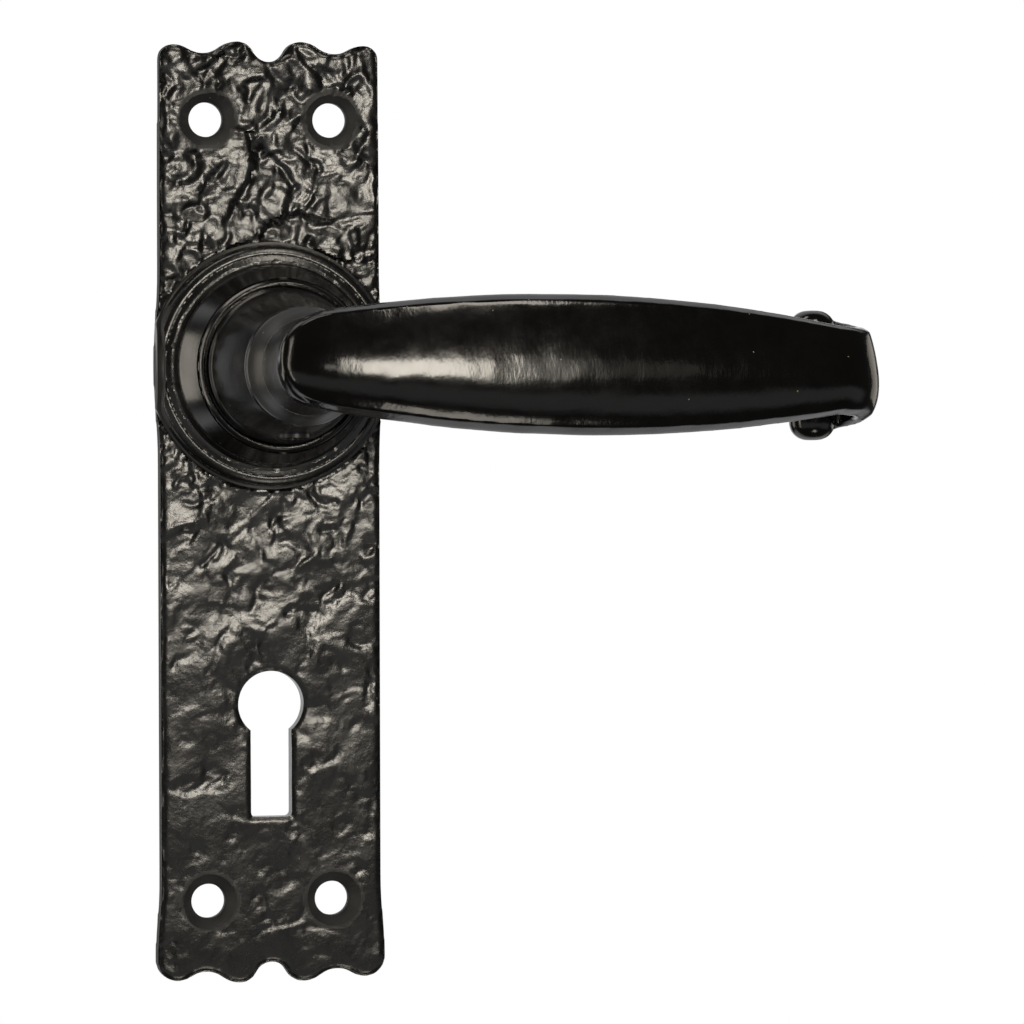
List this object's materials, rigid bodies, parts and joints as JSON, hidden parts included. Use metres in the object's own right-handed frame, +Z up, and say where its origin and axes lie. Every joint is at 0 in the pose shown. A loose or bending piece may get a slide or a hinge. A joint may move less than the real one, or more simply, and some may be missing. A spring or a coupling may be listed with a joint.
{
  "type": "lever lock door handle",
  "caption": "Sprung cast-iron lever handle on a long keyhole backplate with scalloped ends, a turned boss and a curled leaf-shaped grip.",
  "frame": {"origin": "on the spindle's axis, in the plane of the plate's back face, which lies on the door", "axes": "+Y into the door along the spindle, +X the way the lever points, +Z up"},
  "size_m": [0.1156, 0.051, 0.1583],
  "materials": {
    "coated_iron": "malleable iron under a semi-gloss black coating, hammered on the plate's front",
    "nylon": "black moulded nylon",
    "spring_steel": "drawn and oil-tempered, dark grey",
    "zinc_plated_steel": "pressed and bright zinc plated",
    "black_oxide_steel": "black oxide"
  },
  "bodies": {
    "plate": {"backplate": "coated_iron", "front_washer": "nylon", "bearing_bush": "nylon", "return_spring": "spring_steel"},
    "lever_set": {"lever": "coated_iron", "thrust_washer": "zinc_plated_steel", "drive_plate": "zinc_plated_steel", "circlip": "spring_steel", "grub_screw": "black_oxide_steel"}
  },
  "joints": [
    {"name": "lever_turn", "type": "hinge", "parent": "plate", "child": "lever_set", "pos_m": [0, 0, 0], "axis": [0, 1, 0], "range_deg": [0, 45], "stiffness_Nm_per_rad": 0.34, "springref_deg": -68.75, "deforming": ["return_spring"]}
  ]
}
